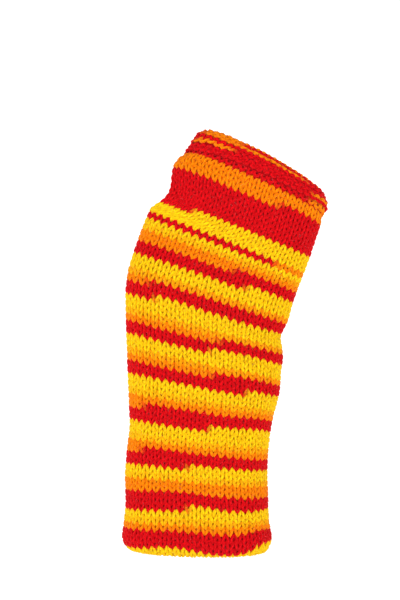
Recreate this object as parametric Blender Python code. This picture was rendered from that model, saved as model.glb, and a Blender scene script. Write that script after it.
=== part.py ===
"""Fingerless knitted hand warmer, hollow, in the pose in which it is worn.

The warmer is one tube of knitting. Its wall follows rings that are set along a bent middle line,
from the wrist edge (bottom) to the finger edge (top). The thumb comes out through an opening on the
-X side. Four knitted stretches are separate solids, a seam gap apart:

  wrist_edge   the first rounds, which flare a little and turn under
  arm_tube     plain rounds over forearm and wrist
  hand_tube    rows round the thumb opening, and the rounds just above it
  finger_edge  the last rounds, which curl outwards and down

Axes: +X to the little finger side, -Y the back of the hand, +Z up. The origin is the middle of the
hollow at the wrist, where the warmer is held by its wearer. Sizes are millimetres until a mesh is made.
"""

import bpy
import numpy as np

MILLIMETRE = 0.001

# Fabric
WALL = 2.4                # thickness of the knitted wall
SEAM_GAP = 0.3            # between neighbouring stretches
SQUARENESS = 2.3          # superellipse power of a ring: 2 is an ellipse, more is squarer

# Rings along the middle line. Half sizes are to the outside of the wall, tilt in degrees from level:
# the little finger side goes down as the tilt grows. lift raises the back of the hand's side of a ring
# and lowers the palm's side by as much.
RING_COLUMNS = ("name", "side", "height", "tilt", "half_width", "half_depth", "lift")
RINGS = (
    ("under_edge",     -4.3, -124.0, 0.8, 40.4, 25.8, -1.0),
    ("wrist_edge",     -4.3, -114.6, 0.6, 40.6, 26.0, -0.7),
    ("low_forearm",    -4.3, -93.2, 1.6, 40.3, 26.0, 0.0),
    ("mid_forearm",    -4.2, -69.3, 4.7, 39.9, 25.6, 0.0),
    ("high_forearm",   -2.6, -44.5, 7.8, 40.8, 24.8, 0.0),
    ("below_wrist",    -0.6, -21.4, 11.2, 44.0, 23.8, 0.0),
    ("wrist",          -0.4, 0.0, 14.2, 45.5, 22.8, 0.0),
    ("heel_of_hand",   1.4, 20.8, 16.9, 47.4, 22.2, 0.0),
    ("thumb_base",     6.3, 38.2, 19.4, 47.4, 21.6, 0.0),
    ("opening_foot",   13.4, 56.4, 21.0, 47.2, 20.6, 0.0),
    ("palm",           21.0, 73.2, 21.8, 45.4, 19.6, 0.8),
    ("below_curl",     26.4, 85.6, 24.2, 43.6, 18.4, 4.2),
    ("crest",          34.1, 97.8, 29.0, 32.8, 14.2, 5.1),
    ("past_crest",     37.9, 106.2, 29.6, 31.8, 13.6, 5.5),
)

# Stretches, as distances along the middle line from the wrist_edge ring
ARM_START = 9.0
OPENING_MARGIN = 4.5      # rounds of the hand tube below the opening
FINGER_EDGE_LENGTH = 13.2

# Thumb opening, on the -X side
OPENING_HALF_WIDTH = 13.0
OPENING_WIDEST = 0.36     # share of its length, from its foot, where it is widest
OPENING_TAPER = (1.5, 1.2)    # powers that shape the edges from its widest place to its top
OPENING_TURN = 0.012      # share of the girth by which it is turned to the palm
OPENING_TOP_BACK = 1.2    # how far its top stays below the below_curl ring

# Wrist edge: flares, then turns under in a round bend, and its first rounds stand up inside
EDGE_FLARE = 1.6
EDGE_BEND_DEPTH = 3.6
EDGE_BEND_HEIGHT = 6.0
EDGE_INSIDE_HEIGHT = 8.0
EDGE_INSIDE_LEAN = 2.6    # how far the part that stands inside comes back to the wall
EDGE_INSIDE_BOW = 0.35    # share of that lean at half its height
EDGE_FLARE_STEPS = 3      # rows from the bend up to the arm tube

# Finger edge: an elliptical curl
CURL_HALF_HEIGHT = 4.5
CURL_HALF_DEPTH = 2.5
CURL_TURN = 238.0         # degrees from the wall to the end of the curl

# Largest soft folds. around is in degrees: 0 thumb side, 90 palm, 180 little finger side,
# 270 back of the hand. height is along the middle line, spreads are half lengths, depth is outwards.
FOLD_COLUMNS = ("name", "around", "height", "spread_around", "spread_height", "depth")
FOLDS = (
    ("outer_wrist_crease",  186.0, 128.0, 17.0, 6.2, -2.4),
    ("outer_wrist_ridge",   184.0, 113.0, 19.0, 5.4, 0.7),
    ("palm_wrist_crease",   100.0, 121.0, 24.0, 4.8, -1.6),
    ("palm_wrist_ridge",    88.0, 109.0, 26.0, 6.0, 1.0),
    ("thumb_side_swell",    352.0, 35.0, 20.0, 9.0, 0.8),
    ("thumb_side_hollow",   4.0, 60.0, 22.0, 8.0, -0.9),
    ("low_back_ripple",     300.0, 24.0, 13.0, 7.0, 0.9),
    ("low_outer_ripple",    228.0, 21.0, 11.0, 6.0, 0.8),
    ("low_middle_hollow",   264.0, 30.0, 15.0, 8.0, -0.7),
    ("low_palm_ripple",     64.0, 27.0, 16.0, 7.0, 1.0),
    ("palm_hollow",         118.0, 47.0, 18.0, 9.0, -1.0),
    ("back_of_hand_hollow", 262.0, 158.0, 26.0, 12.0, -0.8),
)

# Facets
COLUMNS = 56              # round the girth
GIRTH_SAMPLES = 721       # points that measure a ring's girth
ARM_ROWS = 17
OPENING_ROWS = 12
OPENING_ROW_POWER = 1.5   # above 1 the rows lie closer together at the opening's round foot
EDGE_BEND_STEPS = 7
CURL_STEPS = 10
STEP = 0.5                # distance over which slopes are taken

COLOURS = {
    "wrist_edge": (0.72, 0.004, 0.012, 1.0),
    "arm_tube": (0.95, 0.52, 0.01, 1.0),
    "hand_tube": (0.93, 0.36, 0.008, 1.0),
    "finger_edge": (0.66, 0.003, 0.012, 1.0),
}
ROUGHNESS = 0.92


def ring_column(column):
    """All values of one column of the ring table."""
    index = RING_COLUMNS.index(column)
    return np.array([row[index] for row in RINGS], dtype=float)


def ring_distances():
    """Distance of each ring along the middle line, zero at the wrist_edge ring."""
    steps = np.hypot(np.diff(ring_column("side")), np.diff(ring_column("height")))
    distance = np.concatenate([[0.0], np.cumsum(steps)])
    return distance - distance[ring_index("wrist_edge")]


def ring_index(name):
    return [row[0] for row in RINGS].index(name)


KNOTS = ring_distances()


def along(column, distance):
    """A ring value at any distance: a smooth cubic through the table (Hermite, mean slopes)."""
    values = ring_column(column)
    slopes = np.gradient(values, KNOTS)
    left = np.clip(np.searchsorted(KNOTS, distance) - 1, 0, len(KNOTS) - 2)
    width = KNOTS[left + 1] - KNOTS[left]
    t = (distance - KNOTS[left]) / width
    rise = (1 - t) ** 2 * ((1 + 2 * t) * values[left] + t * width * slopes[left])
    return rise + t ** 2 * ((3 - 2 * t) * values[left + 1] + (t - 1) * width * slopes[left + 1])


def ring_outline(half_width, half_depth, share):
    """Points of a superellipse at equal shares of its girth.

    Share 0 is the thumb side, 0.25 about the middle of the palm, 0.5 the little finger side."""
    angle = np.linspace(0.0, 2 * np.pi, GIRTH_SAMPLES)
    power = 2.0 / SQUARENESS
    x = -half_width * np.sign(np.cos(angle)) * np.abs(np.cos(angle)) ** power
    y = half_depth * np.sign(np.sin(angle)) * np.abs(np.sin(angle)) ** power
    girth = np.concatenate([[0.0], np.cumsum(np.hypot(np.diff(x), np.diff(y)))])
    where = (share % 1.0) * girth[-1]
    return np.interp(where, girth, x), np.interp(where, girth, y)


def girth_at(distance):
    """Length round the middle of the wall, by the usual close formula for an ellipse."""
    width = along("half_width", distance) - WALL / 2
    depth = along("half_depth", distance) - WALL / 2
    return np.pi * (3 * (width + depth) - np.sqrt((3 * width + depth) * (width + 3 * depth)))


def plain_ring(distance, share):
    """Middle of the wall on the ring at a distance, without folds."""
    half_depth = along("half_depth", distance) - WALL / 2
    x, y = ring_outline(along("half_width", distance) - WALL / 2, half_depth, share)
    up = -along("lift", distance) * y / half_depth
    tilt = np.radians(along("tilt", distance))
    return np.stack([along("side", distance) + x * np.cos(tilt) + up * np.sin(tilt), y,
                     along("height", distance) - x * np.sin(tilt) + up * np.cos(tilt)], axis=-1)


def outward(distance, share):
    """Unit direction out of the wall: the cross product of the slopes up and round the tube."""
    turn = STEP / girth_at(distance)
    round_slope = plain_ring(distance, share + turn) - plain_ring(distance, share - turn)
    up_slope = plain_ring(distance + STEP, share) - plain_ring(distance - STEP, share)
    normal = np.cross(up_slope, round_slope)
    return normal / np.linalg.norm(normal, axis=-1, keepdims=True)


def fold_depth(distance, share):
    """Sum of the table's folds: each is a bell curve in height and round the girth."""
    depth = np.zeros_like(share)
    for row in FOLDS:
        fold = dict(zip(FOLD_COLUMNS, row))
        apart = (share - fold["around"] / 360.0 + 0.5) % 1.0 - 0.5
        round_part = apart * girth_at(distance) / fold["spread_around"]
        high_part = (distance - fold["height"]) / fold["spread_height"]
        depth = depth + fold["depth"] * np.exp(-round_part ** 2 - high_part ** 2)
    return depth


def wall_point(distance, offset, share):
    """Points at an offset out of the middle of the wall, folds included."""
    out = outward(distance, share)
    return plain_ring(distance, share) + out * (fold_depth(distance, share) + offset)[:, None]


def opening_half_width(distance, foot, top):
    """Half width of the thumb opening: a round foot, then a long taper to its top."""
    part = np.clip((distance - foot) / (top - foot), 0.0, 1.0)
    if part <= OPENING_WIDEST:
        return OPENING_HALF_WIDTH * np.sqrt(1 - (1 - part / OPENING_WIDEST) ** 2)
    taper = (part - OPENING_WIDEST) / (1 - OPENING_WIDEST)
    return OPENING_HALF_WIDTH * (1 - taper ** OPENING_TAPER[0]) ** OPENING_TAPER[1]


def spread_columns(share, half_width, girth):
    """Columns pushed aside by the opening, most beside it and not at all opposite it."""
    near = np.minimum(share, 1 - share)
    pushed = near + half_width / girth * (1 - 2 * near) ** 2
    return np.where(share <= 0.5, pushed, 1 - pushed) + OPENING_TURN


def thicken(path):
    """Closed outline of the wall whose middle follows a path of (distance, offset) points."""
    path = np.array(path)
    slope = np.gradient(path, axis=0)
    slope /= np.linalg.norm(slope, axis=1, keepdims=True)
    side = np.stack([-slope[:, 1], slope[:, 0]], axis=1) * WALL / 2
    return np.concatenate([path + side, (path - side)[::-1]])


def sweep_round(outline):
    """Vertices and faces of a closed outline of (distance, offset) points carried round the tube."""
    share = np.arange(COLUMNS) / COLUMNS
    rings = [wall_point(distance, offset, share + OPENING_TURN) for distance, offset in outline]
    count = len(rings)
    faces = []
    for ring in range(count):
        following = (ring + 1) % count
        for column in range(COLUMNS):
            beside = (column + 1) % COLUMNS
            faces.append((ring * COLUMNS + column, following * COLUMNS + column,
                          following * COLUMNS + beside, ring * COLUMNS + beside))
    return np.concatenate(rings), faces


def wrist_edge_path(top):
    """Middle of the wall from inside the turned edge, round its bend and up to the arm tube."""
    inner = EDGE_FLARE - 2 * EDGE_BEND_DEPTH
    middle = EDGE_FLARE - EDGE_BEND_DEPTH
    path = [(EDGE_INSIDE_HEIGHT, inner + EDGE_INSIDE_LEAN),
            (EDGE_INSIDE_HEIGHT / 2, inner + EDGE_INSIDE_LEAN * EDGE_INSIDE_BOW)]
    for angle in np.linspace(np.pi, 0.0, EDGE_BEND_STEPS):
        path.append((-EDGE_BEND_HEIGHT * np.sin(angle), middle + EDGE_BEND_DEPTH * np.cos(angle)))
    for part in np.arange(1, EDGE_FLARE_STEPS + 1) / EDGE_FLARE_STEPS:
        path.append((top * part, EDGE_FLARE * (1 + np.cos(np.pi * part)) / 2))
    return path


def finger_edge_path(start, crest):
    """Middle of the wall up from the hand tube and round the elliptical curl."""
    centre = crest - WALL / 2 - CURL_HALF_HEIGHT
    path = [(start, 0.0), ((start + centre) / 2, 0.0)]
    for angle in np.radians(np.linspace(0.0, CURL_TURN, CURL_STEPS)):
        path.append((centre + CURL_HALF_HEIGHT * np.sin(angle),
                     CURL_HALF_DEPTH * (1 - np.cos(angle))))
    return path


def tube_path(start, end, rows):
    return [(distance, 0.0) for distance in np.linspace(start, end, rows)]


def opened_tube(distances, foot, top):
    """Vertices and faces of the hand tube: two walls, two end rims and the rim of the opening."""
    share = np.arange(COLUMNS + 1) / COLUMNS
    points = []
    numbers = {}
    for layer, offset in (("outer", WALL / 2), ("inner", -WALL / 2)):
        for row, distance in enumerate(distances):
            half_width = opening_half_width(distance, foot, top)
            spread = spread_columns(share, half_width, girth_at(distance))
            ring = wall_point(distance, offset, spread)
            for column in range(COLUMNS + 1):
                if column == COLUMNS and half_width < SEAM_GAP:
                    numbers[layer, row, column] = numbers[layer, row, 0]
                    continue
                numbers[layer, row, column] = len(points)
                points.append(ring[column])
    last = len(distances) - 1
    faces = []
    for row in range(last):
        for column in range(COLUMNS):
            corners = ((row, column), (row + 1, column), (row + 1, column + 1), (row, column + 1))
            faces.append(tuple(numbers["outer", r, c] for r, c in corners))
            faces.append(tuple(numbers["inner", r, c] for r, c in reversed(corners)))
        opened = [numbers["outer", r, 0] != numbers["outer", r, COLUMNS] for r in (row, row + 1)]
        if any(opened):
            for column, rows in ((0, (row + 1, row)), (COLUMNS, (row, row + 1))):
                first, second = rows
                faces.append((numbers["outer", first, column], numbers["outer", second, column],
                              numbers["inner", second, column], numbers["inner", first, column]))
    for column in range(COLUMNS):
        for row, order in ((0, (column, column + 1)), (last, (column + 1, column))):
            left, right = order
            faces.append((numbers["outer", row, left], numbers["outer", row, right],
                          numbers["inner", row, right], numbers["inner", row, left]))
    return np.array(points), faces


def wool_material(name):
    material = bpy.data.materials.new(name + "_wool")
    material.use_nodes = True
    shader = material.node_tree.nodes["Principled BSDF"]
    shader.inputs["Base Color"].default_value = COLOURS[name]
    shader.inputs["Roughness"].default_value = ROUGHNESS
    shader.inputs["Metallic"].default_value = 0.0
    return material


def add_stretch(name, points, faces):
    """One named object for a knitted stretch, its mesh in metres."""
    mesh = bpy.data.meshes.new(name)
    mesh.from_pydata((points * MILLIMETRE).tolist(), [], faces)
    mesh.validate()
    mesh.shade_smooth()
    mesh.materials.append(wool_material(name))
    stretch = bpy.data.objects.new(name, mesh)
    bpy.context.scene.collection.objects.link(stretch)


def build():
    for old in list(bpy.data.objects):
        bpy.data.objects.remove(old, do_unlink=True)

    foot = KNOTS[ring_index("opening_foot")]
    top = KNOTS[ring_index("below_curl")] - OPENING_TOP_BACK
    crest = KNOTS[ring_index("crest")]
    hand_start = foot - OPENING_MARGIN
    finger_start = crest - FINGER_EDGE_LENGTH
    half_gap = SEAM_GAP / 2

    edge = thicken(wrist_edge_path(ARM_START - half_gap))
    add_stretch("wrist_edge", *sweep_round(edge))

    arm = thicken(tube_path(ARM_START + half_gap, hand_start - half_gap, ARM_ROWS))
    add_stretch("arm_tube", *sweep_round(arm))

    opening_rows = foot + (top - foot) * np.linspace(0.0, 1.0, OPENING_ROWS + 1) ** OPENING_ROW_POWER
    distances = np.concatenate([[hand_start + half_gap], opening_rows, [finger_start - half_gap]])
    add_stretch("hand_tube", *opened_tube(distances, foot, top))

    curl = thicken(finger_edge_path(finger_start + half_gap, crest))
    add_stretch("finger_edge", *sweep_round(curl))


build()
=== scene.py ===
# %% [markdown]
# # A striped hand warmer, knitted stitch by stitch
# The object is a fingerless hand warmer: one tube of plain knitting over forearm, wrist and palm, with
# an opening for the thumb. Its looks come from about 3600 loops of thick wool yarn, so this lesson
# makes the loops themselves. A photograph of knitting put on a smooth tube would look flat at its
# outline, where every loop of real wool stands out a little.
#
# The frame holds four plain solids, one for each stretch of the tube. They give the size and the place,
# and the finished pieces replace them. The lesson goes in this order: the shape of the fabric,
# the stripes, one loop, the whole yarn, a thin ground behind the loops, loose fibres, and the studio.

import bpy
import numpy as np
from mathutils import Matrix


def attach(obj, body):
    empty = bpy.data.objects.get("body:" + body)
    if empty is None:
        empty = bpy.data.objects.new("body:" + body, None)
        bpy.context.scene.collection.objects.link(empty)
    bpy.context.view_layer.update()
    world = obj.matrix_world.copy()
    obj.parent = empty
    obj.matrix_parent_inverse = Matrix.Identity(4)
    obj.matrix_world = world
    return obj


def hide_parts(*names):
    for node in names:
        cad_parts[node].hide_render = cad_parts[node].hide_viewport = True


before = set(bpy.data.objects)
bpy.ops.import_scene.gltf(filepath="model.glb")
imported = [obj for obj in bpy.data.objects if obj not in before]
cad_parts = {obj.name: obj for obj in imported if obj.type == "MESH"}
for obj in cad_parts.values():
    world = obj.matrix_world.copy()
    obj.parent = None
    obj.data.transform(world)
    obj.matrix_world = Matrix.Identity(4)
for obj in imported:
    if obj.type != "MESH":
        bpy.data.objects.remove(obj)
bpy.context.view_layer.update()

MM = 0.001
METRE = 1000
print("frame nodes:", sorted(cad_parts))

# %% [markdown]
# ## The rings that shape the tube
# A knitted tube has no corners, so a few rings along a bent middle line are enough. Each row below is
# one ring. Half sizes are in millimetres to the outside of the wall, tilt is in degrees, and lift
# raises the back of the hand's side. Everything between two rings follows a smooth cubic.

# %% Rings
WALL = 2.4
RING_COLUMNS = ("name", "side", "height", "tilt", "half_width", "half_depth", "lift")
RINGS = (
    ("under_edge",     -3.7, -124.0, 1.4, 37.8, 24.6, -1.0),
    ("wrist_edge",     -4.3, -114.6, 0.6, 40.6, 26.0, -0.7),
    ("low_forearm",    -4.3, -93.2, 1.6, 40.3, 26.0, 0.0),
    ("mid_forearm",    -4.2, -69.3, 4.7, 39.9, 25.6, 0.0),
    ("high_forearm",   -2.6, -44.5, 7.8, 40.8, 24.8, 0.0),
    ("below_wrist",    -0.6, -21.4, 11.2, 44.0, 23.8, 0.0),
    ("wrist",          -0.4, 0.0, 14.2, 45.5, 22.8, 0.0),
    ("heel_of_hand",   1.4, 20.8, 16.9, 47.4, 22.2, 0.0),
    ("thumb_base",     6.3, 38.2, 19.4, 47.4, 21.6, 0.0),
    ("opening_foot",   13.4, 56.4, 21.0, 47.2, 20.6, 0.0),
    ("palm",           21.0, 73.2, 21.8, 45.4, 19.6, 0.8),
    ("below_curl",     26.4, 85.6, 24.2, 43.6, 18.4, 4.2),
    ("crest",          34.1, 97.8, 29.0, 32.8, 14.2, 5.1),
    ("past_crest",     37.9, 106.2, 29.6, 31.8, 13.6, 5.5),
)
RING_NAMES = [ring[0] for ring in RINGS]
RING_TABLE = {column: np.array([ring[place] for ring in RINGS], dtype=float)
              for place, column in enumerate(RING_COLUMNS) if column != "name"}


def running_total(steps):
    """Nought, the first step, the first two steps together, and so on."""
    return np.concatenate([[0.0], np.cumsum(steps)])


KNOTS = running_total(np.hypot(np.diff(RING_TABLE["side"]), np.diff(RING_TABLE["height"])))
KNOTS -= KNOTS[RING_NAMES.index("wrist_edge")]


def ring_distance(name):
    """Distance of a named ring along the middle line, zero at the wrist_edge ring."""
    return KNOTS[RING_NAMES.index(name)]


def along(column, distance):
    """A ring value at any distance: (1-t)^2 and t^2 blend two straight lines from the nearest rings."""
    values = RING_TABLE[column]
    slopes = np.gradient(values, KNOTS)
    left = np.clip(np.searchsorted(KNOTS, distance) - 1, 0, len(KNOTS) - 2)
    width = KNOTS[left + 1] - KNOTS[left]
    t = (distance - KNOTS[left]) / width
    first = (1 - t) ** 2 * ((1 + 2 * t) * values[left] + t * width * slopes[left])
    return first + t ** 2 * ((3 - 2 * t) * values[left + 1] + (t - 1) * width * slopes[left + 1])


print("rings:", len(RINGS), " middle line:", round(KNOTS[-1] - KNOTS[0], 1), "mm")

# %% [markdown]
# ## Points on the wall
# A ring is a superellipse: x = a cos^p, y = b sin^p with p a little under 1, which is a shade squarer
# than an ellipse, as an arm in wool is. Points are taken at equal shares of the girth, because
# stitches are equally wide. Share 0 is the thumb side, 0.5 the little finger side and 0.75 the back of
# the hand. The soft creases of the wrist are bell curves that push the wall in or out.

# %% Wall points
SQUARENESS = 2.3
GIRTH_SAMPLES = 721
SLOPE_STEP = 0.5
FOLD_COLUMNS = ("name", "around", "height", "spread_around", "spread_height", "depth")
FOLDS = (
    ("outer_wrist_crease",  186.0, 128.0, 17.0, 6.2, -2.4),
    ("outer_wrist_ridge",   184.0, 113.0, 19.0, 5.4, 0.7),
    ("palm_wrist_crease",   100.0, 121.0, 24.0, 4.8, -1.6),
    ("palm_wrist_ridge",    88.0, 109.0, 26.0, 6.0, 1.0),
    ("thumb_side_swell",    352.0, 35.0, 20.0, 9.0, 0.8),
    ("thumb_side_hollow",   4.0, 60.0, 22.0, 8.0, -0.9),
    ("low_back_ripple",     300.0, 24.0, 13.0, 7.0, 0.9),
    ("low_outer_ripple",    228.0, 21.0, 11.0, 6.0, 0.8),
    ("low_middle_hollow",   264.0, 30.0, 15.0, 8.0, -0.7),
    ("low_palm_ripple",     64.0, 27.0, 16.0, 7.0, 1.0),
    ("palm_hollow",         118.0, 47.0, 18.0, 9.0, -1.0),
    ("back_of_hand_hollow", 262.0, 158.0, 26.0, 12.0, -0.8),
    ("thumb_side_tuck",     354.0, 208.6, 18.0, 2.8, -3.0),
    ("thumb_side_bulge",    354.0, 214.6, 15.0, 3.6, 1.5),
)
ROUND = np.linspace(0.0, 2 * np.pi, GIRTH_SAMPLES)
ROUND_X = -np.sign(np.cos(ROUND)) * np.abs(np.cos(ROUND)) ** (2 / SQUARENESS)
ROUND_Y = np.sign(np.sin(ROUND)) * np.abs(np.sin(ROUND)) ** (2 / SQUARENESS)


def unit(vectors):
    """The same directions with length one: each vector divided by its own length."""
    return vectors / np.linalg.norm(vectors, axis=-1, keepdims=True)


def girth_at(distance):
    """Length round the middle of the wall, by the usual close formula for an ellipse."""
    width = along("half_width", distance) - WALL / 2
    depth = along("half_depth", distance) - WALL / 2
    return np.pi * (3 * (width + depth) - np.sqrt((3 * width + depth) * (width + 3 * depth)))


def plain_ring(distance, share):
    """Middle of the wall without creases: the superellipse, lifted, tilted and moved to its place."""
    half_width = along("half_width", distance) - WALL / 2
    half_depth = along("half_depth", distance) - WALL / 2
    x, y = half_width * ROUND_X, half_depth * ROUND_Y
    girth = running_total(np.hypot(np.diff(x), np.diff(y)))
    place = (share % 1.0) * girth[-1]
    x, y = np.interp(place, girth, x), np.interp(place, girth, y)
    up = -along("lift", distance) * y / half_depth
    tilt = np.radians(along("tilt", distance))
    return np.stack([along("side", distance) + x * np.cos(tilt) + up * np.sin(tilt), y,
                     along("height", distance) - x * np.sin(tilt) + up * np.cos(tilt)], axis=-1)


def outward(distance, share):
    """Unit direction out of the wall: the slope up the tube crossed with the slope round it."""
    turn = SLOPE_STEP / girth_at(distance)
    round_slope = plain_ring(distance, share + turn) - plain_ring(distance, share - turn)
    up_slope = plain_ring(distance + SLOPE_STEP, share) - plain_ring(distance - SLOPE_STEP, share)
    return unit(np.cross(up_slope, round_slope))


def crease_depth(distance, share):
    """Sum of depth times exp(-(way round)^2 - (way up)^2) over the table of creases."""
    depth = np.zeros_like(share)
    for row in FOLDS:
        fold = dict(zip(FOLD_COLUMNS, row))
        apart = (share - fold["around"] / 360.0 + 0.5) % 1.0 - 0.5
        way_round = apart * girth_at(distance) / fold["spread_around"]
        way_up = (distance - fold["height"]) / fold["spread_height"]
        depth = depth + fold["depth"] * np.exp(-way_round ** 2 - way_up ** 2)
    return depth


def wall_point(distance, offset, share):
    """Points at an offset out of the middle of the wall, creases included."""
    push = crease_depth(distance, share) + offset
    return plain_ring(distance, share) + outward(distance, share) * push[:, None]


PLACES = {"low on the forearm": 10.0, "half way up": 100.0, "at the palm": 160.0}
MIDDLE_GIRTH = girth_at(PLACES["half way up"])
for place, distance in PLACES.items():
    print("girth", place, round(float(girth_at(distance)), 1), "mm")

# %% [markdown]
# ## The thumb opening
# For some rows the maker knits to and fro instead of round and round. That leaves a slit, and the
# thumb pushes it open to a drop shape. Here the stitches beside the slit are pushed aside by half of
# its width, and those opposite it not at all.

# %% Thumb opening
ARM_START = 9.0
OPENING_MARGIN = 4.5
FINGER_EDGE_LENGTH = 13.2
OPENING_HALF_WIDTH = 13.0
OPENING_WIDEST = 0.36
OPENING_TAPER = (1.5, 1.2)
OPENING_TURN = 0.012
OPENING_TOP_BACK = 1.2
OPENING_FOOT = ring_distance("opening_foot")
OPENING_TOP = ring_distance("below_curl") - OPENING_TOP_BACK
CREST = ring_distance("crest")


def opening_half_width(distance):
    """A quarter ellipse up from the foot, then (1 - t^1.5)^1.2 to the top."""
    part = np.clip((distance - OPENING_FOOT) / (OPENING_TOP - OPENING_FOOT), 0.0, 1.0)
    foot = np.sqrt(np.maximum(1 - (1 - part / OPENING_WIDEST) ** 2, 0.0))
    taper = np.clip((part - OPENING_WIDEST) / (1 - OPENING_WIDEST), 0.0, 1.0)
    head = (1 - taper ** OPENING_TAPER[0]) ** OPENING_TAPER[1]
    return OPENING_HALF_WIDTH * np.where(part <= OPENING_WIDEST, foot, head)


def spread(turn, distance):
    """Share of the girth for a stitch column: pushed by half the opening times (1 - 2 near)^2."""
    near = np.minimum(turn, 1 - turn)
    pushed = near + opening_half_width(distance) / girth_at(distance) * (1 - 2 * near) ** 2
    return np.where(turn <= 0.5, pushed, 1 - pushed) + OPENING_TURN


print("opening:", round(OPENING_TOP - OPENING_FOOT, 1), "mm long,", 2 * OPENING_HALF_WIDTH, "mm wide")

# %% [markdown]
# ## The path of the fabric from edge to edge
# Seen from the side, the fabric starts inside the turned wrist edge, goes round a bend, runs up the
# arm and the hand, and curls outwards at the finger edge. Plain knitting always curls like that when
# nothing holds it, because its back is wider than its face. Each point of the path is a distance along
# the middle line and an offset out of the wall.

# %% Fabric path
EDGE_FLARE = 1.6
EDGE_BEND_DEPTH = 3.6
EDGE_BEND_HEIGHT = 6.0
EDGE_INSIDE_HEIGHT = 8.0
EDGE_INSIDE_LEAN = 2.6
EDGE_INSIDE_BOW = 0.35
CURL_HALF_HEIGHT = 5.5
CURL_HALF_DEPTH = 2.5
CURL_TURN = 268.0
PATH_SPARE = 5.0


def inside_edge(steps=13):
    """The part that stands inside: it leans back to the wall by a bowed line."""
    high = np.linspace(1.0, 0.0, steps)
    lean = EDGE_INSIDE_LEAN * (EDGE_INSIDE_BOW * high + (1 - EDGE_INSIDE_BOW) * high ** 2)
    return np.stack([EDGE_INSIDE_HEIGHT * high, EDGE_FLARE - 2 * EDGE_BEND_DEPTH + lean], axis=1)


def edge_bend(steps=41):
    """Half an ellipse from inside to outside, below the wrist edge."""
    angle = np.linspace(np.pi, 0.0, steps)
    return np.stack([-EDGE_BEND_HEIGHT * np.sin(angle),
                     EDGE_FLARE - EDGE_BEND_DEPTH + EDGE_BEND_DEPTH * np.cos(angle)], axis=1)


def plain_wall(end, flare_steps=13, steps=81):
    """The flare falls to nothing along half a cosine wave, then the wall is straight."""
    part = np.linspace(0.0, 1.0, flare_steps)
    flare = np.stack([ARM_START * part, EDGE_FLARE * (1 + np.cos(np.pi * part)) / 2], axis=1)
    rest = np.stack([np.linspace(ARM_START, end, steps), np.zeros(steps)], axis=1)
    return np.concatenate([flare, rest[1:]])


def finger_curl(centre, steps=61):
    """An ellipse from the wall outwards and down."""
    angle = np.radians(np.linspace(0.0, CURL_TURN, steps))
    return np.stack([centre + CURL_HALF_HEIGHT * np.sin(angle),
                     CURL_HALF_DEPTH * (1 - np.cos(angle))], axis=1)


def lengthened(path, spare):
    """The path with a straight spare piece at each end, for loops that reach past an edge."""
    first = path[0] - path[1]
    last = path[-1] - path[-2]
    return np.concatenate([[path[0] + spare * first / np.hypot(*first)], path,
                           [path[-1] + spare * last / np.hypot(*last)]])


CURL_CENTRE = CREST - WALL / 2 - CURL_HALF_HEIGHT
PATH = lengthened(np.concatenate([inside_edge(), edge_bend()[1:], plain_wall(CURL_CENTRE)[1:],
                                  finger_curl(CURL_CENTRE)[1:]]), PATH_SPARE)
PATH_LENGTH = running_total(np.hypot(*np.diff(PATH, axis=0).T)) - PATH_SPARE
FABRIC_LENGTH = PATH_LENGTH[-1] - PATH_SPARE
WALL_PART = np.flatnonzero(PATH[:, 1] == 0.0)


def length_at(distance):
    """Length of fabric from the cast-on edge up to a place on the straight wall."""
    return PATH_LENGTH[WALL_PART[0]] + distance - PATH[WALL_PART[0], 0]


print("fabric from edge to edge:", round(float(FABRIC_LENGTH), 1), "mm")

# %% [markdown]
# ## A map from flat fabric to the tube
# Every later piece asks the same question: where in space is the point that lies so far up the fabric
# and so far round it? The answer is worked out once, on a grid, and read between the grid's points by
# straight mixing. The direction out of the fabric's face is kept too. It turns over along the curl,
# which is why the curl shows the bumpy back of the knitting.

# %% Fabric map
MAP_STEP = 0.5
MAP_COLUMNS = 460
MAP_END = 0.001
MAP_LENGTHS = np.arange(-PATH_SPARE, FABRIC_LENGTH + PATH_SPARE, MAP_STEP)
MAP_TURNS = np.linspace(0.0, 1.0, MAP_COLUMNS + 1)


def fabric_rows():
    """The fabric's middle on the grid, one row of points for each length."""
    distances = np.interp(MAP_LENGTHS, PATH_LENGTH, PATH[:, 0])
    offsets = np.interp(MAP_LENGTHS, PATH_LENGTH, PATH[:, 1])
    return np.array([wall_point(distance, offset, spread(MAP_TURNS, distance))
                     for distance, offset in zip(distances, offsets)])


MAP_POINTS = fabric_rows()
MAP_FACING = unit(np.cross(np.gradient(MAP_POINTS, axis=0), np.gradient(MAP_POINTS, axis=1)))


def on_fabric(length, turn):
    """Point and facing at a length up and a turn round, by mixing the four nearest grid points."""
    row = np.clip((length - MAP_LENGTHS[0]) / MAP_STEP, 0, len(MAP_LENGTHS) - 1 - MAP_END)
    column = np.clip(turn, 0.0, 1.0) * (MAP_COLUMNS - MAP_END)
    low, left = row.astype(int), column.astype(int)
    up, right = (row - low)[..., None], (column - left)[..., None]

    def mixed(grid):
        below = grid[low, left] * (1 - right) + grid[low, left + 1] * right
        above = grid[low + 1, left] * (1 - right) + grid[low + 1, left + 1] * right
        return below * (1 - up) + above * up

    return mixed(MAP_POINTS), unit(mixed(MAP_FACING))


print("map:", MAP_POINTS.shape[0], "by", MAP_POINTS.shape[1], "points")

# %% [markdown]
# ## Rows and stripes
# The tube is knitted round and round, so the rows are one long spiral that climbs a row a turn. The
# wool was dyed in lengths of red, orange and yellow before it was knitted, and it changes colour at
# any place in a round. That makes the small step that each stripe's edge shows somewhere. A stripe's
# start below is counted in rounds, and blend is how much of a round the change takes: orange fades
# softly into yellow, while red starts at once. Rows lie closer together in the curl, and wear has pulled
# the rows up or down by a few millimetres in some places, which a table of bell curves says.

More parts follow.
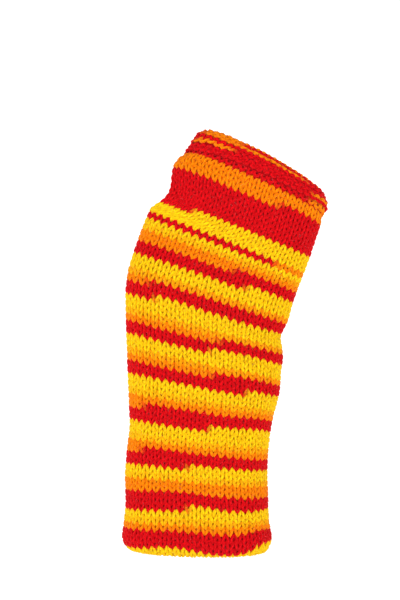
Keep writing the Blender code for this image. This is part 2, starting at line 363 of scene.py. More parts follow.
# %% Stripes
STITCHES = 46
ROW = 3.36
CURL_ROW = 2.7
ARM_LEVEL = 9.1
CURL_LEVEL = ARM_LEVEL + (CURL_CENTRE - ARM_START) / ROW
DRIFT_COLUMNS = ("turn", "length", "spread_round", "spread_up", "rise")
DRIFTS = (
    (0.65, 18.0, 16.0, 12.0, -2.0),
    (0.565, 20.0, 8.0, 12.0, 2.6),
    (0.81, 20.0, 14.0, 12.0, 1.8),
    (0.50, 16.0, 13.0, 10.0, 5.5),
    (0.83, 14.0, 20.0, 7.0, 1.6),
    (0.80, 47.0, 22.0, 10.0, 2.2),
    (0.62, 42.0, 16.0, 6.0, -1.4),
    (0.84, 68.0, 20.0, 8.0, 1.3),
    (0.57, 94.0, 14.0, 8.0, 1.5),
    (0.60, 128.0, 14.0, 14.0, 1.2),
    (0.66, 151.0, 26.0, 5.0, -1.4),
    (0.72, 176.0, 60.0, 10.0, 1.6),
    (0.77, 242.0, 52.0, 13.0, -3.8),
)
DYES = {
    "red": (0.70, 0.003, 0.007),
    "orange": (1.0, 0.25, 0.001),
    "yellow": (1.0, 0.60, 0.004),
}
STRIPE_COLUMNS = ("colour", "start", "blend")
STRIPES = (
    ("yellow", -9.0, 0.1),
    ("red", 5.3, 0.02), ("orange", 8.02, 0.03), ("yellow", 9.6, 1.1),
    ("red", 11.76, 0.02), ("orange", 14.5, 0.03), ("yellow", 16.55, 1.1),
    ("red", 18.76, 0.02), ("orange", 20.9, 0.03), ("yellow", 22.65, 1.1),
    ("red", 25.71, 0.02), ("orange", 27.9, 0.03), ("yellow", 29.65, 1.1),
    ("red", 32.62, 0.02), ("orange", 34.72, 0.03), ("yellow", 35.95, 1.1),
    ("red", 38.72, 0.02), ("orange", 40.7, 0.03), ("yellow", 41.85, 1.1),
    ("red", 44.87, 0.02), ("orange", 46.9, 0.03), ("yellow", 47.95, 1.1),
    ("red", 50.65, 0.02), ("orange", 52.7, 0.03), ("yellow", 54.65, 1.1),
    ("orange", 56.25, 0.02), ("red", 56.6, 0.02), ("yellow", 57.25, 0.04),
    ("red", 59.88, 0.02), ("orange", 65.65, 0.03), ("red", 68.2, 0.03),
    ("orange", 71.57, 0.04), ("red", 71.97, 0.04), ("orange", 72.52, 0.04), ("red", 72.96, 0.04),
    ("orange", 73.6, 0.04), ("red", 73.95, 0.04), ("orange", 74.84, 0.03), ("red", 74.96, 0.03),
    ("orange", 76.4, 0.02), ("red", 76.57, 0.02),
)


def length_of(level):
    """Length of fabric up to a row: ROW for each, and CURL_ROW for those past the start of the curl."""
    past = np.maximum(level - CURL_LEVEL, 0.0)
    return length_at(ARM_START) + ROW * (level - ARM_LEVEL) - (ROW - CURL_ROW) * past


def level_of(length):
    """The row at a length of fabric: the other way round."""
    past = np.maximum(length - length_at(CURL_CENTRE), 0.0)
    return ARM_LEVEL + (length - past - length_at(ARM_START)) / ROW + past / CURL_ROW


def drift(turn, length):
    """How far the rows are pulled up: rise times exp(-(way round)^2 - (way up)^2) over the table."""
    pulled = np.zeros_like(length)
    for row in DRIFTS:
        place = dict(zip(DRIFT_COLUMNS, row))
        way_round = (turn - place["turn"]) * MIDDLE_GIRTH / place["spread_round"]
        way_up = (length - place["length"]) / place["spread_up"]
        pulled = pulled + place["rise"] * np.exp(-way_round ** 2 - way_up ** 2)
    return pulled


def dye_at(rounds):
    """Colour of the yarn at a number of rounds: a ramp of the stripes' blend at every start."""
    colour = np.tile(np.array(DYES[STRIPES[0][0]]), (len(rounds), 1))
    for row in STRIPES[1:]:
        stripe = dict(zip(STRIPE_COLUMNS, row))
        share = np.clip((rounds - stripe["start"]) / stripe["blend"] + 0.5, 0.0, 1.0)[:, None]
        colour = colour * (1 - share) + np.array(DYES[stripe["colour"]]) * share
    return colour


print("rows:", round(float(level_of(FABRIC_LENGTH) - level_of(0.0)), 1), "of which in the curl:",
      round(float(level_of(FABRIC_LENGTH) - CURL_LEVEL), 1), " colour changes:", len(STRIPES) - 1)

# %% [markdown]
# ## One loop
# A loop of plain knitting can be written with three waves. Along the row it goes steadily on and
# swings to and fro twice a stitch. Up and down it makes one wave. In and out it makes two, so that the
# legs lie in front and the head and foot behind. Next to each other the legs make the V of a stitch.
# Every stitch is a little different, because a hand never pulls the wool twice alike.

# %% Loop formula
LOOP_POINTS = 14
LOOP_SWING = 0.235
LOOP_REACH = 0.88
LOOP_DEPTH = 0.95
YARN_RADIUS = 0.98
YARN_INSET = 0.1
UNEVEN = {"swing": 0.018, "reach": 0.05, "depth": 0.1, "slip": 0.035, "radius": 0.05}


def uneven(random, stitches, size, place):
    """Random numbers, one for each stitch, read between stitches by straight mixing."""
    values = random.normal(0.0, size, stitches + 2)
    return np.interp(place, np.arange(stitches + 2), values)


def loop_waves(stitches, random):
    """Stitches along, rows up and millimetres out for a run of loops, and the yarn's radius there.

    along = s + swing sin 2a, up = reach cos a, out = -depth cos 2a, with a = 2 pi s."""
    place = np.arange(stitches * LOOP_POINTS + 1) / LOOP_POINTS
    angle = 2 * np.pi * place
    swing = LOOP_SWING + uneven(random, stitches, UNEVEN["swing"], place)
    reach = LOOP_REACH + uneven(random, stitches, UNEVEN["reach"], place)
    depth = LOOP_DEPTH + uneven(random, stitches, UNEVEN["depth"], place)
    slip = uneven(random, stitches, UNEVEN["slip"], place)
    radius = YARN_RADIUS * (1 + uneven(random, stitches, UNEVEN["radius"], place))
    forward = place + swing * np.sin(2 * angle) + slip
    return forward, reach * np.cos(angle), -depth * np.cos(2 * angle), radius


print("yarn:", 2 * YARN_RADIUS, "mm thick, stitch", round(float(MIDDLE_GIRTH) / STITCHES, 2), "by", ROW,
      "mm")

# %% [markdown]
# ## From loops to a round yarn
# The line of the yarn is laid on the fabric map. Round it go rings of six points, which follow the
# line and keep one side turned to the fabric's face, so the tube never twists. The texture map gives
# each knitted row one strip, as the finished colours are baked strip by strip, and the two closed ends
# half a strip more. A second map measures the yarn in turns of its own twist, for the material.

# %% Yarn mesh
YARN_SIDES = 6
TWIST_LENGTH = 5.2
INSET_SWAP_LENGTH = 8.0
STRIP_MARGIN = 0.06
MAP_MARGIN = 0.01
ROUNDING = 1e-6
END_STRIP = 0.5
END_SPOT_SIZE = (0.012, 0.25)
END_SPOT_PLACE = (0.02, 0.15)
END_SPOT_STEP = 0.03


def inset_at(length):
    """How far the yarn's middle lies behind the wall's middle: it changes sides along the curl."""
    curled = np.clip((length - length_at(CURL_CENTRE)) / INSET_SWAP_LENGTH, 0.0, 1.0)
    return YARN_INSET * (1 - 2 * curled * curled * (3 - 2 * curled))


def fabric_line(turns, levels, out):
    """Points and facings of a line given in turns, rows and millimetres out of the fabric."""
    length = length_of(levels)
    length = length + drift(turns, length)
    point, facing = on_fabric(length, turns)
    return point + facing * (out - inset_at(length))[:, None], facing


def yarn_rings(line, facing, radius):
    """Ring points: the line plus radius times cos of the angle along side, sin along up."""
    ahead = unit(np.gradient(line, axis=0))
    side = unit(np.cross(ahead, facing))
    up = np.cross(side, ahead)
    angle = (2 * np.pi * np.arange(YARN_SIDES) / YARN_SIDES)[None, :, None]
    reach = np.cos(angle) * side[:, None, :] + np.sin(angle) * up[:, None, :]
    return line[:, None, :] + reach * radius[:, None, None]


def quads(a, b, c, d):
    """Faces as rows of four point numbers, from four blocks of numbers."""
    return np.stack([a, b, c, d], axis=-1).reshape(-1, 4)


def yarn_quads(rings):
    """Quads of a tube with closed ends, with rings counted from 0 and points counted ring by ring."""
    ring, side = np.meshgrid(np.arange(rings - 1), np.arange(YARN_SIDES), indexing="ij")
    beside = (side + 1) % YARN_SIDES
    walls = quads(ring * YARN_SIDES + side, ring * YARN_SIDES + beside,
                  (ring + 1) * YARN_SIDES + beside, (ring + 1) * YARN_SIDES + side)
    last = (rings - 1) * YARN_SIDES
    ends = np.array([[3, 2, 1, 0], [5, 4, 3, 0], [last, last + 1, last + 2, last + 3],
                     [last, last + 3, last + 4, last + 5]])
    return np.concatenate([walls, ends])


def end_spots(strips):
    """Four small places in the half strip past the others, for the quads that close the yarn's ends."""
    wide, tall = END_SPOT_SIZE[0], END_SPOT_SIZE[1] / (strips + END_STRIP)
    spot = np.array([[0.0, 0.0], [wide, 0.0], [wide, tall], [0.0, tall]])
    low = (strips + END_SPOT_PLACE[1]) / (strips + END_STRIP)
    return np.stack([spot + [END_SPOT_PLACE[0] + END_SPOT_STEP * count, low] for count in range(4)])


def yarn_maps(row_place, length):
    """Texture strips and the twist map, one pair of numbers for each corner of each quad."""
    rings = len(row_place)
    strips = int(np.ceil(row_place[-1] - ROUNDING))
    start = np.repeat(np.arange(rings - 1), YARN_SIDES)
    side = np.tile(np.arange(YARN_SIDES), rings - 1)
    strip = np.minimum(np.floor(row_place[start] + ROUNDING), strips - 1)
    bake, twist = [], []
    for on, beside in ((0, 0), (0, 1), (1, 1), (1, 0)):
        across = (row_place[start + on] - strip) * (1 - 2 * MAP_MARGIN) + MAP_MARGIN
        round_share = (side + beside) / YARN_SIDES
        high = strip + STRIP_MARGIN + (1 - 2 * STRIP_MARGIN) * round_share
        bake.append(np.stack([across, high / (strips + END_STRIP)], axis=-1))
        twist.append(np.stack([length[start + on] / TWIST_LENGTH, round_share], axis=-1))
    return (np.concatenate([np.stack(bake, axis=1), end_spots(strips)]),
            np.concatenate([np.stack(twist, axis=1), np.zeros((4, 4, 2))]))


def add_mesh(name, points, faces, material, dye=None, maps=()):
    """One object at the origin, its points in metres, with its colours and texture maps."""
    mesh = bpy.data.meshes.new(name)
    mesh.from_pydata((points * MM).tolist(), [], faces.tolist())
    for map_name, values in maps:
        layer = mesh.uv_layers.new(name=map_name)
        layer.data.foreach_set("uv", values.reshape(-1).astype(np.float32))
    if dye is not None:
        colours = mesh.color_attributes.new(name="dye", type="FLOAT_COLOR", domain="POINT")
        rgba = np.concatenate([dye, np.ones((len(dye), 1))], axis=1)
        colours.data.foreach_set("color", rgba.reshape(-1).astype(np.float32))
    mesh.shade_smooth()
    mesh.materials.append(material)
    thing = bpy.data.objects.new(name, mesh)
    bpy.context.scene.collection.objects.link(thing)
    return thing


def add_yarn(name, turns, levels, out, radius, row_place, rounds, material):
    """A finished yarn along a line on the fabric, and what the loose fibres need to know of it."""
    line, facing = fabric_line(turns, levels, out)
    rings = yarn_rings(line, facing, radius)
    length = running_total(np.linalg.norm(np.diff(line, axis=0), axis=1))
    bake, twist = yarn_maps(row_place, length)
    dye = dye_at(rounds)
    thing = add_mesh(name, rings.reshape(-1, 3), yarn_quads(len(line)), material,
                     np.repeat(dye, YARN_SIDES, axis=0), (("OFBake", bake), ("Twist", twist)))
    return thing, {"line": line, "rings": rings, "dye": dye, "length": length[-1]}


print("yarn sides:", YARN_SIDES, " points in a stitch:", LOOP_POINTS)

# %% [markdown]
# ## The wool
# Wool scatters light in a thousand small fibres, so it is rough all over, with a faint pale sheen
# where one looks along the surface. The dye comes from the colours kept on the mesh. Four plies wound
# round each other show as slanting ridges: a sine of the way along the yarn plus four turns round it.
# Fine noise in object coordinates breaks the ridges up. The grooves between the plies get painted shade.

# %% Wool material
PLIES = 4.0
# Painted shade: in the grooves between the plies the dye is darkened down to this share.
GROOVE_SHADE = 0.76
# Painted shade: the ground sheet behind the loops takes its dye darkened to this share.
GROUND_SHADE = 0.5
GRAIN_SCALE = 900.0
GRAIN_DETAIL = 3.0
GRAIN_RANGE = (0.3, 0.7)
GRAIN_SHADES = (0.74, 1.22)
PLY_HEIGHT = 0.3
BUMP_STRENGTH = 0.6
BUMP_DISTANCE = 0.25 * MM


def add_node(material, kind, values=(), feeds=(), **settings):
    """A shader node: its settings, the numbers in its inputs, and the sockets that feed its inputs."""
    node = material.node_tree.nodes.new(kind)
    for setting, value in settings.items():
        setattr(node, setting, value)
    for name, value in values:
        node.inputs[name].default_value = value
    for name, socket in feeds:
        material.node_tree.links.new(socket, node.inputs[name])
    return node


def wool_material(name, shade=1.0):
    """Rough dyed wool. Noise turns its dye darker and lighter, and shade darkens all of it: painted
    shade, for the ground sheet behind the loops.
    """
    material = bpy.data.materials.new(name)
    material.use_nodes = True
    shader = material.node_tree.nodes["Principled BSDF"]
    dye = add_node(material, "ShaderNodeVertexColor", layer_name="dye")
    place = add_node(material, "ShaderNodeTexCoord")
    noise = add_node(material, "ShaderNodeTexNoise", (("Scale", GRAIN_SCALE), ("Detail", GRAIN_DETAIL)),
                     (("Vector", place.outputs["Object"]),))
    light = add_node(material, "ShaderNodeMapRange",
                     (("From Min", GRAIN_RANGE[0]), ("From Max", GRAIN_RANGE[1]),
                      ("To Min", GRAIN_SHADES[0] * shade), ("To Max", GRAIN_SHADES[1] * shade)),
                     (("Value", noise.outputs["Fac"]),))
    tint = add_node(material, "ShaderNodeVectorMath", (),
                    ((0, dye.outputs["Color"]), ("Scale", light.outputs["Result"])), operation="SCALE")
    material.node_tree.links.new(tint.outputs["Vector"], shader.inputs["Base Color"])
    shader.inputs["Roughness"].default_value = 0.9
    shader.inputs["Specular IOR Level"].default_value = 0.05
    shader.inputs["Sheen Weight"].default_value = 0.03
    shader.inputs["Sheen Roughness"].default_value = 0.5
    return material, noise, shader


def add_twist(material, noise, shader):
    """Wave = sine of 2 pi (twist turns + plies times turns round): it lifts each ply, and paints shade
    into the grooves between them."""
    turns = add_node(material, "ShaderNodeUVMap", uv_map="Twist")
    parts = add_node(material, "ShaderNodeSeparateXYZ", (), (("Vector", turns.outputs["UV"]),))
    plies = add_node(material, "ShaderNodeMath", ((1, PLIES),),
                     ((0, parts.outputs["Y"]), (2, parts.outputs["X"])), operation="MULTIPLY_ADD")
    angle = add_node(material, "ShaderNodeMath", ((1, 2 * np.pi),),
                     ((0, plies.outputs["Value"]),), operation="MULTIPLY")
    wave = add_node(material, "ShaderNodeMath", (), ((0, angle.outputs["Value"]),), operation="SINE")
    height = add_node(material, "ShaderNodeMath", ((1, PLY_HEIGHT),),
                      ((0, wave.outputs["Value"]), (2, noise.outputs["Fac"])), operation="MULTIPLY_ADD")
    # Painted shade: the dye is darkened where the wave is low, in the grooves between the plies.
    painted_groove_shade = add_node(material, "ShaderNodeMapRange", (("From Min", -1.0), ("To Min", GROOVE_SHADE)),
                      (("Value", wave.outputs["Value"]),))
    tint = shader.inputs["Base Color"].links[0].from_socket
    groove_shaded_tint = add_node(material, "ShaderNodeVectorMath", (),
                       ((0, tint), ("Scale", painted_groove_shade.outputs["Result"])), operation="SCALE")
    bump = add_node(material, "ShaderNodeBump",
                    (("Strength", BUMP_STRENGTH), ("Distance", BUMP_DISTANCE)),
                    (("Height", height.outputs["Value"]),))
    material.node_tree.links.new(groove_shaded_tint.outputs["Vector"], shader.inputs["Base Color"])
    material.node_tree.links.new(bump.outputs["Normal"], shader.inputs["Normal"])
    return material


striped_wool = add_twist(*wool_material("striped_wool"))
painted_shade_ground_wool = wool_material("painted_shade_ground_wool", shade=GROUND_SHADE)[0]
halo_wool = wool_material("halo_wool")[0]
print("materials:", striped_wool.name, painted_shade_ground_wool.name, halo_wool.name)

# %% [markdown]
# ## Knitting the rounds
# Whole rounds are one spiral: the level is the number of rounds, plus the loop's own rise. A long
# stretch is cut into shorter pieces, because a mesh of several hundred thousand triangles is awkward
# to edit.

# %% Rounds
RANDOM_SEED = 2041
random = np.random.default_rng(RANDOM_SEED)
yarns = {}


def knit_rounds(name, first_row, rows):
    """Rows knitted round and round from a row number: turns and levels grow together."""
    forward, rise, out, radius = loop_waves(rows * STITCHES, random)
    rounds = first_row + forward / STITCHES
    thing, facts = add_yarn(name, rounds % 1.0, rounds + rise, out, radius,
                            np.arange(len(forward)) / (STITCHES * LOOP_POINTS), rounds, striped_wool)
    yarns[name] = facts
    return thing


CAST_ON_ROW = -1
ARM_FIRST_ROW = 9
ARM_MIDDLE_ROW = 33
HAND_FIRST_ROW = 57
FINGER_FIRST_ROW = 68
END_ROW = 77
wrist_yarn = [knit_rounds("wrist_edge_yarn", CAST_ON_ROW, ARM_FIRST_ROW - CAST_ON_ROW)]
arm_yarn = [knit_rounds("arm_yarn_low", ARM_FIRST_ROW, ARM_MIDDLE_ROW - ARM_FIRST_ROW),
            knit_rounds("arm_yarn_high", ARM_MIDDLE_ROW, HAND_FIRST_ROW - ARM_MIDDLE_ROW)]
finger_yarn = [knit_rounds("finger_edge_yarn", FINGER_FIRST_ROW, END_ROW - FINGER_FIRST_ROW)]
print("yarn in the rounds:", round(sum(facts["length"] for facts in yarns.values()) / METRE, 1), "m")

# %% [markdown]
# ## Knitting to and fro beside the thumb
# Beside the opening every row stops at its edge. The yarn turns there and comes back one row higher.
# The rows keep the spiral's slope, so that they meet the rounds below and above. They begin a row
# under the opening and end a row over it, so that no loop of a whole round reaches across. The line
# through all of them is put together from forward rows, backward rows and short turns.

# %% Rows beside the opening
TURN_POINTS = 8
EDGE_TURN = 0.006
EDGE_SPARE = 0.002
ROW_RISE = 0.94
TURN_THIN = 0.9


def edge_turn(turn_from, level_from, level_to, way):
    """Half a circle beyond the last stitch, from one row's level up to the next one's."""
    angle = np.linspace(0.0, np.pi, TURN_POINTS + 2)[1:-1]
    middle, half = (level_from + level_to) / 2, (level_to - level_from) / 2
    return turn_from + way * EDGE_TURN * np.sin(angle), middle - half * np.cos(angle)


def knit_rows(name, first_row, rows):
    """Rows knitted to and fro: every second one is run backwards, and a turn joins it to the next."""
    turns, levels, outs, radii, rounds = [], [], [], [], []
    for row in range(rows):
        forward, rise, out, radius = loop_waves(STITCHES, random)
        turn = np.clip(forward / STITCHES, EDGE_SPARE, 1 - EDGE_SPARE)
        level = first_row + row + turn
        part = [turn, level + rise * ROW_RISE, out, radius, level]
        if row % 2:
            part = [values[::-1] for values in part]
        if row:
            way = 1.0 if row % 2 else -1.0
            next_level, next_out, next_round = part[1][0], part[2][0], part[4][0]
            over, up = edge_turn(turns[-1][-1], levels[-1][-1], next_level, way)
            turns.append(over)
            levels.append(up)
            outs.append(np.linspace(outs[-1][-1], next_out, TURN_POINTS))
            radii.append(np.full(TURN_POINTS, YARN_RADIUS * TURN_THIN))
            rounds.append(np.linspace(rounds[-1][-1], next_round, TURN_POINTS))
        for store, values in zip((turns, levels, outs, radii, rounds), part):
            store.append(values)
    turns, levels, outs, radii, rounds = map(np.concatenate, (turns, levels, outs, radii, rounds))
    row_place = np.linspace(0.0, rows, len(turns))
    thing, facts = add_yarn(name, turns, levels, outs, radii, row_place, rounds, striped_wool)
    yarns[name] = facts
    return thing


hand_yarn = [knit_rows("hand_yarn", HAND_FIRST_ROW, FINGER_FIRST_ROW - HAND_FIRST_ROW)]

# %% [markdown]
# ## The ground behind the loops
# Between the loops one looks into the depth of the wool, never through it. A thin closed sheet in the
# middle of the fabric gives that depth. It takes the dye of the stitch it lies behind, much darkened
# as painted shade, and it spans the girth of the tube by the length of fabric.

# %% Ground sheets
GROUND_THICK = 0.4
GROUND_COLUMNS = 92
GROUND_STEP = ROW / 2
CUT_HALF_WIDTH = 0.3
CHART_COLUMNS = ("name", "low", "tall")
CHARTS = (
    ("outer_face", 0.01, 0.44),
    ("inner_face", 0.47, 0.44),
    ("first_rim",  0.92, 0.01),
    ("last_rim",   0.94, 0.01),
    ("first_side", 0.96, 0.01),
    ("last_side",  0.98, 0.01),
)


def ground_points(lengths, turns, side):
    """One face of the sheet: the yarn's middle, moved half a thickness to one side."""
    grid_length, grid_turn = np.meshgrid(lengths, turns, indexing="ij")
    point, facing = on_fabric(grid_length, grid_turn)
    return point + facing * (side * GROUND_THICK / 2 - inset_at(grid_length))[..., None]


def ground_dye(lengths, turns):
    """Dye of the stitch in front: the nearest whole row to level minus turn, plus the turn."""
    length, turn = np.meshgrid(lengths, turns, indexing="ij")
    level = level_of(length - drift(turn, length))
    return dye_at((np.round(level - turn) + turn).reshape(-1)).reshape(level.shape + (3,))


def ground_faces(rows, opened):
    """Both faces, a rim at each end, and a side left and right of the opening, where the sheet is cut."""
    number = np.arange(2 * rows * (GROUND_COLUMNS + 1)).reshape(2, rows, GROUND_COLUMNS + 1)
    number[:, ~opened, -1] = number[:, ~opened, 0]
    outer, inner = number
    under = np.flatnonzero(opened[:-1] | opened[1:])
    over = under + 1
    return [quads(outer[:-1, :-1], outer[1:, :-1], outer[1:, 1:], outer[:-1, 1:]),
            quads(inner[:-1, :-1], inner[:-1, 1:], inner[1:, 1:], inner[1:, :-1]),
            quads(outer[0, :-1], outer[0, 1:], inner[0, 1:], inner[0, :-1]),
            quads(outer[-1, 1:], outer[-1, :-1], inner[-1, :-1], inner[-1, 1:]),
            quads(outer[over, 0], outer[under, 0], inner[under, 0], inner[over, 0]),
            quads(outer[under, -1], outer[over, -1], inner[over, -1], inner[under, -1])]


def ground_maps(rows, side_quads):
    """Texture places: a grid for each group of quads, set one above the other by the table of charts."""
    def grid(high, wide):
        return np.stack(np.meshgrid(high, wide, indexing="ij")[::-1], axis=-1)

    across = np.arange(GROUND_COLUMNS + 1) / GROUND_COLUMNS * (1 - 2 * MAP_MARGIN) + MAP_MARGIN
    face = grid(np.arange(rows) / (rows - 1), across)
    rim = grid([0.0, 1.0], across)
    side = grid([0.0, 1.0], np.linspace(MAP_MARGIN, 1 - MAP_MARGIN, side_quads + 1))
    maps = []
    for row, block in zip(CHARTS, (face, face, rim, rim, side, side)):
        chart = dict(zip(CHART_COLUMNS, row))
        block = block * [1.0, chart["tall"]] + [0.0, chart["low"]]
        corners = [block[:-1, :-1], block[1:, :-1], block[1:, 1:], block[:-1, 1:]]
        if chart["name"] != "outer_face":
            corners = corners[:1] + corners[:0:-1]
        maps.append(np.stack(corners, axis=2).reshape(-1, 4, 2))
    return np.concatenate(maps)


def add_ground(name, start, end):
    """A closed sheet between two lengths of fabric, with a rim at each end and beside the opening."""
    rows = int(np.ceil((end - start) / GROUND_STEP)) + 1
    lengths = np.linspace(start, end, rows)
    turns = np.linspace(0.0, 1.0, GROUND_COLUMNS + 1)
    points = np.stack([ground_points(lengths, turns, side) for side in (1.0, -1.0)]).reshape(-1, 3)
    dye = ground_dye(lengths, turns)
    opened = opening_half_width(np.interp(lengths, PATH_LENGTH, PATH[:, 0])) > CUT_HALF_WIDTH
    groups = ground_faces(rows, opened)
    maps = ground_maps(rows, len(groups[-1]))
    faces = np.concatenate(groups)
    used, place = np.unique(faces, return_inverse=True)
    return add_mesh(name, points[used], place.reshape(faces.shape), painted_shade_ground_wool,
                    np.concatenate([dye, dye]).reshape(-1, 3)[used], (("OFBake", maps),))


HAND_START = OPENING_FOOT - OPENING_MARGIN
FINGER_START = CREST - FINGER_EDGE_LENGTH
EDGES = {"wrist_edge": (0.0, length_at(ARM_START)),
         "arm_tube": (length_at(ARM_START), length_at(HAND_START)),
         "hand_tube": (length_at(HAND_START), length_at(FINGER_START)),
         "finger_edge": (length_at(FINGER_START), FABRIC_LENGTH)}
grounds = {node: add_ground(node + "_ground", *ends) for node, ends in EDGES.items()}
for node, ends in EDGES.items():
    print(node, "fabric", round(float(ends[1] - ends[0]), 1), "mm long")

# %% [markdown]
# ## Loose fibres
# Thousands of short fibre ends stand out of woollen yarn. They soften the outline and the edges of the
# stripes. Each one is a curved spike of three sides: it starts on the yarn, leans along it, and its
# tip bends away. Length, lean and bend are random, with a fixed seed.

# %% Fibres
FIBRES_PER_METRE = 380
FIBRE_LENGTH = (0.9, 3.2)
FIBRE_RADIUS = 0.06
# Painted highlight: each fibre's dye is paled towards white by up to this share, for fibres catching the
# light.
FIBRE_PAINTED_HIGHLIGHT = 0.16
FIBRE_LEAN = 0.9
FIBRE_STRAY = 0.35
FIBRE_BEND = 0.45
ROOT_PLACE = 0.85
WAIST_PLACE = 0.55
WAIST_SIZE = 0.8
SIDE_AHEAD = 0.3
SIDE_SHIFT = 0.1
SPIKE_SIDES = 3
SPIKE_POINTS = 7
SPIKE_FACES = np.array([[2, 1, 0], [0, 1, 4], [0, 4, 3], [1, 2, 5], [1, 5, 4], [2, 0, 3], [2, 3, 5],
                        [3, 4, 6], [4, 5, 6], [5, 3, 6]])
SPIKE_CHART = np.array([[0.1, 0.1], [0.9, 0.1], [0.1, 0.9]])


def fibre_spikes(facts, count):
    """Points of count spikes: three at the foot, three at the waist a little past half the length, and
    the tip, moved by a random bend."""
    index = random.integers(1, len(facts["line"]) - 1, count)
    angle = random.integers(0, YARN_SIDES, count)
    root = facts["rings"][index, angle]
    centre = facts["line"][index]
    out = unit(root - centre)
    ahead = unit(facts["line"][index + 1] - facts["line"][index - 1])
    lean = random.normal(0.0, FIBRE_LEAN, (count, 1))
    way = unit(out + ahead * lean + random.normal(0.0, FIBRE_STRAY, (count, 3)))
    bend = random.normal(0.0, FIBRE_BEND, (count, 3))
    shortest, longest = FIBRE_LENGTH
    length = random.uniform(0.0, 1.0, (count, 1)) ** 2 * (longest - shortest) + shortest
    start = centre + (root - centre) * ROOT_PLACE
    middle = start + way * length * WAIST_PLACE
    tip = start + (way + bend) * length
    side = unit(np.cross(way, out + SIDE_AHEAD * ahead + SIDE_SHIFT))
    up = np.cross(side, way)
    turn = (2 * np.pi * np.arange(SPIKE_SIDES) / SPIKE_SIDES)[None, :, None]
    reach = np.cos(turn) * side[:, None] + np.sin(turn) * up[:, None]
    foot = start[:, None] + reach * FIBRE_RADIUS
    waist = middle[:, None] + reach * FIBRE_RADIUS * WAIST_SIZE
    return np.concatenate([foot, waist, tip[:, None]], axis=1), facts["dye"][index]


def add_fibres(name, names):
    """All the fibres of some yarns in one mesh, ten triangles to a fibre."""
    spikes, dyes = [], []
    for facts in (yarns[yarn] for yarn in names):
        points, dye = fibre_spikes(facts, int(facts["length"] / METRE * FIBRES_PER_METRE))
        spikes.append(points)
        dyes.append(dye)
    spikes, dyes = np.concatenate(spikes), np.concatenate(dyes)
    # Painted highlight: a random share of white is mixed into each fibre's dye.
    dyes = dyes + (1 - dyes) * FIBRE_PAINTED_HIGHLIGHT * random.uniform(0.0, 1.0, (len(dyes), 1))
    faces = (SPIKE_FACES[None] + SPIKE_POINTS * np.arange(len(spikes))[:, None, None]).reshape(-1, 3)
    across = int(np.ceil(np.sqrt(len(faces))))
    cell = np.arange(len(faces))
    maps = (SPIKE_CHART[None] + np.stack([cell % across, cell // across], axis=-1)[:, None]) / across
    return add_mesh(name, spikes.reshape(-1, 3), faces, halo_wool, np.repeat(dyes, SPIKE_POINTS, axis=0),
                    (("OFBake", maps),))


YARNS_OF = {"wrist_edge": wrist_yarn, "arm_tube": arm_yarn, "hand_tube": hand_yarn,
            "finger_edge": finger_yarn}
halos = {node: add_fibres(node + "_fibres", [thing.name for thing in things])
         for node, things in YARNS_OF.items()}
print("fibres:", sum(len(halo.data.polygons) for halo in halos.values()) // len(SPIKE_FACES))

# %% [markdown]
# ## Handing the pieces over
# Each stretch of the frame is now shown by its ground, its yarn and its fibres. They are hung on the
# root, and the frame's own solid for that stretch is hidden.

# %% Replace the frame
for node, ground in grounds.items():
    pieces = YARNS_OF[node] + [halos[node]]
    for thing in [ground] + pieces:
        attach(thing, "root")
    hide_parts(node)

# %% [markdown]
# ## The studio
# A warmer like this is shown on plain white. The backdrop is a wide round bowl with a flat floor, so
# it looks the same from every side. It glows a little, which keeps it white and fills the shadows.

# %% Floor and backdrop
FLOOR_HEIGHT = -0.172
BOWL_HUB = 0.02
BOWL_FLAT = 2.0
BOWL_RADIUS = 3.4
BOWL_RISE = 3.0


def studio_bowl(flat_rings=8, rings=48, spokes=96):
    """A surface of revolution: flat, then rising with the square of the way past the flat part."""
    radius = np.concatenate([np.linspace(BOWL_HUB, BOWL_FLAT, flat_rings),
                             np.linspace(BOWL_FLAT, BOWL_RADIUS, rings)[1:]])
    rise = BOWL_RISE * np.clip((radius - BOWL_FLAT) / (BOWL_RADIUS - BOWL_FLAT), 0, 1) ** 2
    angle = 2 * np.pi * np.arange(spokes) / spokes
    points = np.stack([radius[:, None] * np.cos(angle), radius[:, None] * np.sin(angle),
                       np.broadcast_to((FLOOR_HEIGHT + rise)[:, None], (len(radius), spokes))], axis=-1)
    ring, spoke = np.meshgrid(np.arange(len(radius) - 1), np.arange(spokes), indexing="ij")
    beside = (spoke + 1) % spokes
    faces = quads(ring * spokes + spoke, (ring + 1) * spokes + spoke,
                  (ring + 1) * spokes + beside, ring * spokes + beside)
    centre = np.array([[0.0, 0.0, FLOOR_HEIGHT]])
    hub = len(radius) * spokes
    middle = [(hub, spoke, (spoke + 1) % spokes) for spoke in range(spokes)]
    return np.concatenate([points.reshape(-1, 3), centre]), faces.tolist() + middle


backdrop_white = bpy.data.materials.new("backdrop_white")
backdrop_white.use_nodes = True
paper = backdrop_white.node_tree.nodes["Principled BSDF"]
paper.inputs["Base Color"].default_value = (0.9, 0.9, 0.9, 1.0)
paper.inputs["Roughness"].default_value = 0.9
paper.inputs["Emission Color"].default_value = (1.0, 1.0, 1.0, 1.0)
paper.inputs["Emission Strength"].default_value = 0.5
bowl_points, bowl_faces = studio_bowl()
bowl_mesh = bpy.data.meshes.new("floor")
bowl_mesh.from_pydata(bowl_points.tolist(), [], bowl_faces)
bowl_mesh.shade_smooth()
bowl_mesh.materials.append(backdrop_white)
floor = bpy.data.objects.new("floor", bowl_mesh)
bpy.context.scene.collection.objects.link(floor)
print("floor at", FLOOR_HEIGHT, "m, bowl", BOWL_RADIUS, "m in radius")

# %% [markdown]
# ## The lamps
# Three square lamps stand round the piece. The strongest is high at the front left and rather small,
# so each loop has a lit side and a shaded side. A wide weak one at the right and another at the back
# open the shadows again. A lamp shines along its own -Z, so each is turned to look at the origin.

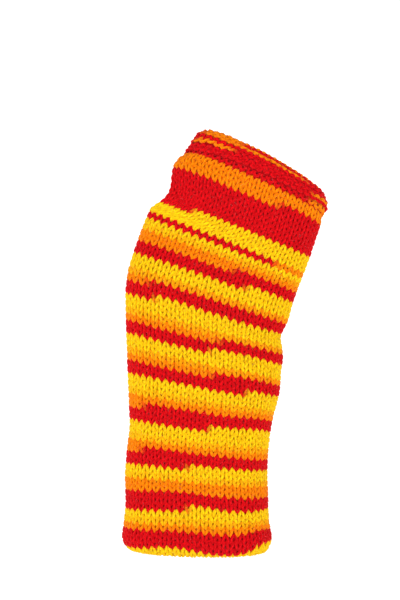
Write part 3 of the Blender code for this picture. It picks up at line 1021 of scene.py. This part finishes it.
# %% Lights
LAMP_COLUMNS = ("name", "place", "size", "power")
LAMPS = (
    ("front_left_lamp", (-1.3, -1.7, 1.6), 0.7, 20.0),
    ("front_right_lamp", (1.5, -1.6, 0.7), 1.2, 7.0),
    ("back_lamp", (0.4, 1.8, 1.6), 1.4, 8.0),
)
for row in LAMPS:
    lamp = dict(zip(LAMP_COLUMNS, row))
    data = bpy.data.lights.new(lamp["name"], "AREA")
    data.size = lamp["size"]
    data.energy = lamp["power"]
    thing = bpy.data.objects.new(lamp["name"], data)
    thing.location = lamp["place"]
    away = np.array(lamp["place"])
    thing.rotation_euler = (np.arccos(away[2] / np.linalg.norm(away)), 0.0,
                            np.arctan2(away[1], away[0]) + np.pi / 2)
    bpy.context.scene.collection.objects.link(thing)

world = bpy.data.worlds.new("soft_white")
world.use_nodes = True
world.node_tree.nodes["Background"].inputs["Color"].default_value = (1.0, 1.0, 1.0, 1.0)
world.node_tree.nodes["Background"].inputs["Strength"].default_value = 0.1
bpy.context.scene.world = world
print("lamps:", len(LAMPS))

# %% [markdown]
# ## The camera
# The camera looks level along +Y from 1.2 m away, a little to the side of the origin and above it. The
# lens follows from the scale: at that distance one pixel of a picture 600 high is 0.57 mm.

# %% Camera
CAMERA_PLACE = (-0.0026, -1.2, 0.0214)
PIXEL_AT_OBJECT = 0.57 * MM
PICTURE_HEIGHT = 600
SENSOR_HEIGHT = 24.0
camera_data = bpy.data.cameras.new("camera")
camera_data.sensor_fit = "VERTICAL"
camera_data.sensor_height = SENSOR_HEIGHT
camera_data.lens = SENSOR_HEIGHT * -CAMERA_PLACE[1] / (PIXEL_AT_OBJECT * PICTURE_HEIGHT)
camera = bpy.data.objects.new("camera", camera_data)
camera.location = CAMERA_PLACE
camera.rotation_euler = (np.pi / 2, 0.0, 0.0)
bpy.context.scene.collection.objects.link(camera)
bpy.context.scene.camera = camera
bpy.context.scene.view_settings.view_transform = "Standard"
print("lens:", round(camera_data.lens, 2), "mm")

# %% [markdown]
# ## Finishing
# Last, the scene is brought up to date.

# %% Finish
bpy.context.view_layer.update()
